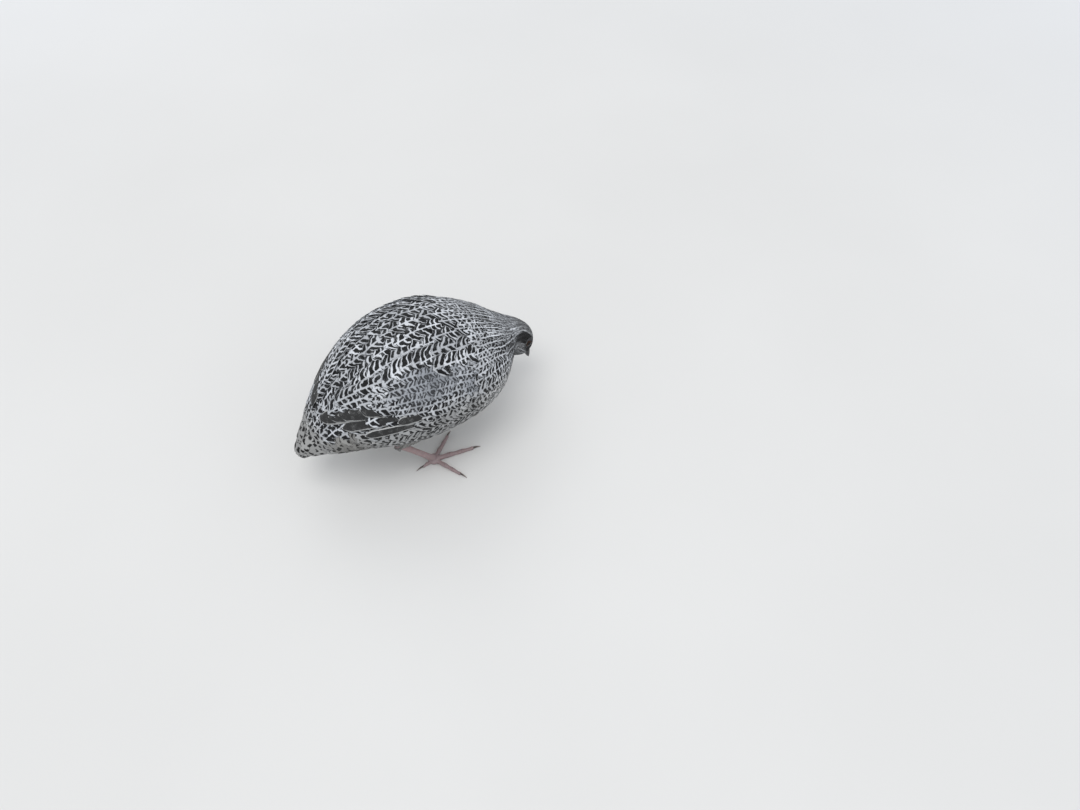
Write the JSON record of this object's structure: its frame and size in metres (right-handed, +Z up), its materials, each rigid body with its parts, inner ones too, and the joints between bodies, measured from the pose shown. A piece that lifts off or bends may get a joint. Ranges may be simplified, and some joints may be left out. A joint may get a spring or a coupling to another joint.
{
  "type": "quail",
  "caption": "Life-size still model of a plump silver coturnix quail standing with its head lowered to feed, wings folded and the short tail drooping",
  "frame": {"origin": "centre of the bounding box in plan, at the floor under the toes", "axes": "+X is the way the bird faces, from tail to bill; +Y is its left; +Z is up"},
  "size_m": [0.175, 0.1088, 0.0988],
  "materials": {
    "plumage": "soft contour feathers, black barred and streaked with white",
    "quills": "stiff flight and tail feathers, dark grey with pale edges",
    "leg_skin": "scaled bare skin, satin",
    "horn": "dark horn of bill and claws, satin",
    "eye": "wet and glossy"
  },
  "bodies": {
    "root": {"torso": "plumage", "neck": "plumage", "head": "plumage", "tail": "quills", "wing_left": "quills", "wing_right": "quills", "thigh_left": "plumage", "thigh_right": "plumage", "bill_upper": "horn", "bill_lower": "horn", "eye_left": "eye", "eye_right": "eye", "shank_left": "leg_skin", "shank_right": "leg_skin", "foot_left": "leg_skin", "foot_right": "leg_skin", "toe_left_inner": "leg_skin", "toe_left_middle": "leg_skin", "toe_left_outer": "leg_skin", "toe_left_hind": "leg_skin", "toe_right_inner": "leg_skin", "toe_right_middle": "leg_skin", "toe_right_outer": "leg_skin", "toe_right_hind": "leg_skin", "claw_left_inner": "horn", "claw_left_middle": "horn", "claw_left_outer": "horn", "claw_left_hind": "horn", "claw_right_inner": "horn", "claw_right_middle": "horn", "claw_right_outer": "horn", "claw_right_hind": "horn"}
  },
  "joints": []
}
